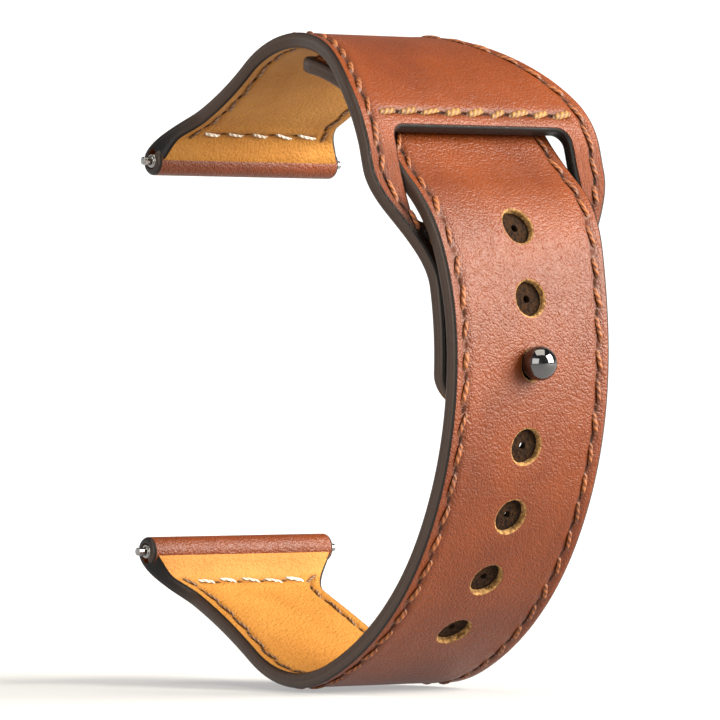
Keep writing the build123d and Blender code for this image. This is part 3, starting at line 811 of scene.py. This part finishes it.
# Pairs are where a mark starts to show and where it is full
marksShape = {
    "groove": 0.55, "needle": (0.2, 0.8), "needleDull": (0.15, 0.5), "rawFibreAndHoleShade": (0.10, 0.45),
    "fibreScale": 2600.0, "fibre": (0.35, 0.65), "paint": (0.06, 0.22), "paintInner": (0.45, 0.80),
    "paintRough": 0.42, "paintSmooth": 0.75,
    "needleShadeColour": (0.008, 0.003, 0.001, 1), "shadeColour": (0.006, 0.003, 0.002, 1),
    "barColour": (0.010, 0.010, 0.011, 1), "lineColour": (0.005, 0.004, 0.0035, 1),
}


# Marks on the leather: painted shade in the stitch grooves and needle holes, shade on the tail, raw fibre in
# the face's punched holes and painted hole shade in the lining's, and edge paint that starts with a
# near-black line and is charcoal by the bar
def leatherMarks():
    s = marksShape
    tree, given, wanted = newGroup(
        "leatherMarks",
        {
            "Leather": "Color", "Groove Shade": "Color", "Edge": "Color", "Raw": "Color", "Dark Fibre And Hole Shade": "Color",
            "Rough": "Float", "Height": "Float",
        },
        {"Color": "Color", "Rough": "Float", "Height": "Float"},
    )
    paint, needle = attribute(tree, "paint"), attribute(tree, "needle")
    painted = rampBetween(tree, paint, *s["paint"])
    cut = rampBetween(tree, attribute(tree, "rawCutAndHoleShade"), *s["rawFibreAndHoleShade"])
    # Painted shade: the groove darkens the leather towards its groove shade colour, and the needle holes turn
    # near black
    groove = times(tree, attribute(tree, "groove"), s["groove"])
    shaded = mixColours(tree, groove, given["Leather"], given["Groove Shade"])
    shaded = mixColours(tree, rampBetween(tree, needle, *s["needle"]), shaded, s["needleShadeColour"])
    shaded = mixColours(tree, attribute(tree, "shade"), shaded, s["shadeColour"])
    fibre = noise(tree, addNode(tree, "TexCoord", {}).outputs["Object"], s["fibreScale"], 4.0, 0.7)
    fibre = mixColours(tree, rampBetween(tree, fibre, *s["fibre"]), given["Dark Fibre And Hole Shade"], given["Raw"])
    shaded = mixColours(tree, cut, shaded, fibre)
    band = mixColours(tree, attribute(tree, "barEnd"), given["Edge"], s["barColour"])
    edge = mixColours(tree, rampBetween(tree, paint, *s["paintInner"]), s["lineColour"], band)
    tree.links.new(mixColours(tree, painted, shaded, edge), wanted["Color"])
    dull = mathNode(tree, "MAXIMUM", rampBetween(tree, needle, *s["needleDull"]), cut)
    rough = addNode(tree, "Mix", {0: dull, 2: given["Rough"], 3: 1.0}).outputs[0]
    rough = addNode(tree, "Mix", {0: painted, 2: rough, 3: s["paintRough"]}).outputs[0]
    tree.links.new(rough, wanted["Rough"])
    smooth = mathNode(tree, "SUBTRACT", 1.0, times(tree, painted, s["paintSmooth"]))
    tree.links.new(times(tree, given["Height"], smooth), wanted["Height"])
    return tree


def newMaterial(name):
    material = bpy.data.materials.new(name)
    material.use_nodes = True
    tree = material.node_tree
    return material, tree, tree.nodes["Principled BSDF"]


grainGroup, marksGroup = leatherGrain(), leatherMarks()


# Leather: its grain mottles between a dark and a light colour, and the marks go over it
def leather(name, s):
    material, tree, shader = newMaterial(name)
    grainInputs = {"Pebble Scale": s["pebble"], "Wrinkle": s["wrinkle"]}
    grain = addNode(tree, "Group", grainInputs, node_tree=grainGroup)
    colour = mixColours(tree, grain.outputs["Tone"], s["dark"], s["light"])
    marks = addNode(tree, "Group", {
        "Leather": colour, "Height": grain.outputs["Height"], "Groove Shade": s["grooveShade"], "Edge": s["edge"],
        "Raw": s["rawFibreAndHoleShade"], "Dark Fibre And Hole Shade": s["darkFibreAndHoleShade"], "Rough": s["rough"],
    }, node_tree=marksGroup)
    bump = bumpOf(tree, marks.outputs["Height"], s["bump"])
    connect(tree, shader, {
        "Base Color": marks.outputs["Color"], "Roughness": marks.outputs["Rough"], "Normal": bump,
        "Specular IOR Level": s["specular"],
    })
    return material


edgePaint = (0.052, 0.0325, 0.0245, 1)
faceLeather = leather("faceLeather", {
    "dark": (0.092, 0.0158, 0.0012, 1), "light": (0.152, 0.0298, 0.0028, 1),
    "grooveShade": (0.018, 0.0045, 0.001, 1), "edge": edgePaint,
    "rawFibreAndHoleShade": (0.38, 0.21, 0.072, 1), "darkFibreAndHoleShade": (0.10, 0.045, 0.012, 1),
    "rough": 0.42, "pebble": 4200.0, "wrinkle": 0.6, "bump": 0.00009, "specular": 0.30,
})
# The lining's raw colours are near black: painted shade on its hole walls and on its hidden side round the
# openings, seen at the bottom of the face's holes
liningLeather = leather("liningLeather", {
    "dark": (0.28, 0.105, 0.013, 1), "light": (0.40, 0.182, 0.034, 1),
    "grooveShade": (0.13, 0.040, 0.007, 1), "edge": edgePaint,
    "rawFibreAndHoleShade": (0.030, 0.012, 0.003, 1), "darkFibreAndHoleShade": (0.005, 0.002, 0.001, 1),
    "rough": 0.58, "pebble": 2900.0, "wrinkle": 1.3, "bump": 0.00009, "specular": 0.18,
})

strandShape = {
    "round": 9.0, "along": 2.0, "height": 0.5, "tint": 0.6, "tone": (-0.4, 1.0), "bump": 0.00006,
    "rough": 0.62, "sunkShadeColour": (0.012, 0.006, 0.003, 1),
}


# Waxed thread: strands are a slanted wave round and along it, with painted shade where it sinks into its
# holes, and paler across the strap
def thread(name, dark, light, crossDark, crossLight):
    s = strandShape
    material, tree, shader = newMaterial(name)
    spot = addNode(tree, "SeparateXYZ", {0: addNode(tree, "TexCoord", {}).outputs["UV"]}).outputs
    turns = [times(tree, spot[0], s["round"]), times(tree, spot[1], s["along"])]
    wave = mathNode(tree, "SINE", mathNode(tree, "ADD", *turns))
    strands = times(tree, wave, s["height"])
    tone = mathNode(tree, "ADD", times(tree, attribute(tree, "tint"), s["tint"]), strands)
    share = rampBetween(tree, tone, *s["tone"])
    along, cross = mixColours(tree, share, dark, light), mixColours(tree, share, crossDark, crossLight)
    colour = mixColours(tree, attribute(tree, "gold"), along, cross)
    # Painted shade: the sunk ends of each stitch turn near black, as in the needle holes
    colour = mixColours(tree, attribute(tree, "sunk"), colour, s["sunkShadeColour"])
    bump = bumpOf(tree, strands, s["bump"])
    connect(tree, shader, {"Base Color": colour, "Roughness": s["rough"], "Normal": bump})
    return material


faceThread = thread(
    "faceThread", (0.09, 0.020, 0.003, 1), (0.27, 0.076, 0.010, 1),
    (0.11, 0.042, 0.008, 1), (0.27, 0.128, 0.022, 1),
)
liningThread = thread(
    "liningThread", (0.08, 0.030, 0.009, 1), (0.25, 0.13, 0.06, 1),
    (0.32, 0.21, 0.13, 1), (0.75, 0.70, 0.62, 1),
)

# How far smears darken the metal and change its gloss, as shares
smearShape = {"dark": 0.8, "glossy": 0.7, "dull": 1.4, "markScale": 6, "bump": 0.000004}


# Metal: polished, with faint turning marks and small smears in its gloss
def metal(name, colour, rough, scale):
    s = smearShape
    material, tree, shader = newMaterial(name)
    where = addNode(tree, "TexCoord", {}).outputs["Object"]
    smear = noise(tree, where, scale, 4.0)
    dark = tuple(value * s["dark"] for value in colour[:3]) + (1,)
    gloss = {"Value": smear, "To Min": rough * s["glossy"], "To Max": rough * s["dull"]}
    gloss = addNode(tree, "MapRange", gloss).outputs[0]
    turning = noise(tree, where, scale * s["markScale"], 2.0)
    bump = bumpOf(tree, turning, s["bump"])
    shaded = mixColours(tree, smear, dark, colour)
    connect(tree, shader, {"Base Color": shaded, "Metallic": 1.0, "Roughness": gloss, "Normal": bump})
    return material


gunmetal = metal("gunmetal", (0.15, 0.15, 0.155, 1), 0.06, 900.0)
barSteel = metal("barSteel", (0.36, 0.355, 0.35, 1), 0.20, 1200.0)
springSteel = metal("springSteel", (0.48, 0.48, 0.47, 1), 0.34, 1500.0)

# Each piece: its body, the CAD node it stands for, its slot and its material
pieceTable = [
    (shortFaceLeather, "short_strap", "short_face_leather", "face_leather", faceLeather),
    (shortLining, "short_strap", "short_lining", "lining_leather", liningLeather),
    (shortFaceThread, "short_strap", "short_face_thread", "face_thread", faceThread),
    (shortLiningThread, "short_strap", "short_lining_thread", "lining_thread", liningThread),
    (stud, "short_strap", "stud", "stud_steel", gunmetal),
    (longFaceLeather, "long_strap", "long_face_leather", "face_leather", faceLeather),
    (longLining, "long_strap", "long_lining", "lining_leather", liningLeather),
    (longFaceThread, "long_strap", "long_face_thread", "face_thread", faceThread),
    (longLiningThread, "long_strap", "long_lining_thread", "lining_thread", liningThread),
]
for body, tip in barTips.items():
    bar, end, _ = body.split("_")
    pieceTable.append((tip, body, f"{bar}_bar_{end}_tip", "bar_steel", barSteel))
for piece, body, node, slot, material in pieceTable:
    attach(piece, body)
    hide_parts(node)
    piece.data.materials.append(material)
for node, material in (
    ("stud_screw", gunmetal), ("upper_bar_tube", barSteel), ("lower_bar_tube", barSteel),
    ("upper_bar_spring", springSteel), ("lower_bar_spring", springSteel),
):
    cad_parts[node].data.materials.clear()
    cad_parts[node].data.materials.append(material)
print("materials set")

# The camera stands on the level of the loop's middle, on the photograph's side
cameraShape = {
    "azimuth": 52.2, "target": (-0.0038, 0.0, 0.0310), "distance": 0.64, "lens": 335.0, "sensor": 36.0,
    "near": 0.05, "far": 10.0,
}
cameraTurn = radians(cameraShape["azimuth"])
towardsCamera = Vector((sin(cameraTurn), -cos(cameraTurn), 0))

# Stage: a floor disc just under the strap, curving up into a round wall by a quarter circle
stageShape = {
    "inner": [0, 0.3, 0.7], "flat": 1.0, "bend": 0.5, "bendSteps": 17, "wall": 1.6, "sides": 96,
    "floor": -0.0004,
}
flat, bendRadius = stageShape["flat"], stageShape["bend"]
bend = np.linspace(0, pi / 2, stageShape["bendSteps"])
wallRadii = np.concatenate([stageShape["inner"], flat + bendRadius * np.sin(bend), [flat + bendRadius]])
wallHeights = np.concatenate([[0, 0, 0], bendRadius * (1 - np.cos(bend)), [stageShape["wall"]]])
wallHeights = wallHeights + stageShape["floor"]
floor = turnedPiece(
    "floor", (0, 0, 0), (0, 0, 1), wallRadii / millimetre, wallHeights / millimetre, stageShape["sides"],
)
floor.data.flip_normals()

# Paper: grey under the strap, and low on the wall two glows that rise with the distance behind the strap
paperShape = {
    "dark": (0.29, 0.29, 0.29, 1), "light": (0.31, 0.31, 0.31, 1), "toneScale": 3.0, "rough": 0.9,
    "near": (-0.20, 0.02), "nearGlow": 0.36, "far": (0.06, 0.45), "farGlow": 0.70, "height": (0.15, 0.27),
    "glowDark": (0.04, 0.04, 0.04, 1), "glowLight": (0.97, 0.97, 0.97, 1),
}


def paperMaterial():
    s = paperShape
    material, tree, shader = newMaterial("paper")
    where = addNode(tree, "TexCoord", {}).outputs["Object"]
    tone = mixColours(tree, noise(tree, where, s["toneScale"], 2.0), s["dark"], s["light"])
    behind = vectorNode(tree, "DOT_PRODUCT", where, -towardsCamera, "Value")
    height = addNode(tree, "SeparateXYZ", {0: where}).outputs["Z"]
    near = times(tree, rampBetween(tree, behind, *s["near"]), s["nearGlow"])
    far = times(tree, rampBetween(tree, behind, *s["far"]), s["farGlow"])
    low = mathNode(tree, "SUBTRACT", 1.0, rampBetween(tree, height, *s["height"]))
    low = times(tree, low, mathNode(tree, "ADD", near, far))
    glow = mixColours(tree, low, s["glowDark"], s["glowLight"])
    connect(tree, shader, {
        "Base Color": tone, "Roughness": s["rough"], "Emission Color": glow, "Emission Strength": 1.0,
    })
    return material


floor.data.materials.append(paperMaterial())

world = bpy.data.worlds.new("softSky")
world.use_nodes = True
connect(world.node_tree, world.node_tree.nodes["Background"], {"Color": (1, 1, 1, 1), "Strength": 0.10})
bpy.context.scene.world = world

# Lamps: direction and distance from the strap's middle, side of the square, and power
lampShape = {
    "middle": (0, 0, 0.03),
    "keyLight": (130, 24, 0.75, 0.55, 25.0, (1.0, 0.95, 0.86)),
    "fillLight": (22, 8, 0.90, 0.75, 6.6, (1.0, 0.97, 0.90)),
    "topLight": (60, 78, 0.80, 0.70, 5.8, (1.0, 0.93, 0.80)),
}


# An object away from a target along a direction, looking back at it
def lookFrom(looker, target, away, distance):
    looker.location = target + distance * away
    looker.rotation_mode = "QUATERNION"
    looker.rotation_quaternion = away.to_track_quat("Z", "Y")
    bpy.context.scene.collection.objects.link(looker)


# A square area light that faces the strap's middle
def addLight(name):
    azimuth, elevation, distance, size, power, colour = lampShape[name]
    light = bpy.data.lights.new(name, "AREA")
    light.shape = "SQUARE"
    light.size = size
    light.energy = power
    light.color = colour
    turn, rise = radians(azimuth), radians(elevation)
    away = Vector((sin(turn) * cos(rise), -cos(turn) * cos(rise), sin(rise)))
    lookFrom(bpy.data.objects.new(name, light), Vector(lampShape["middle"]), away, distance)


for lamp in ("keyLight", "fillLight", "topLight"):
    addLight(lamp)

view = bpy.data.cameras.new("photoView")
view.lens = cameraShape["lens"]
view.sensor_width = cameraShape["sensor"]
view.clip_start = cameraShape["near"]
view.clip_end = cameraShape["far"]
camera = bpy.data.objects.new("photoView", view)
lookFrom(camera, Vector(cameraShape["target"]), towardsCamera, cameraShape["distance"])
bpy.context.scene.camera = camera
bpy.context.scene.view_settings.view_transform = "Standard"
print("stage, lamps and camera set")
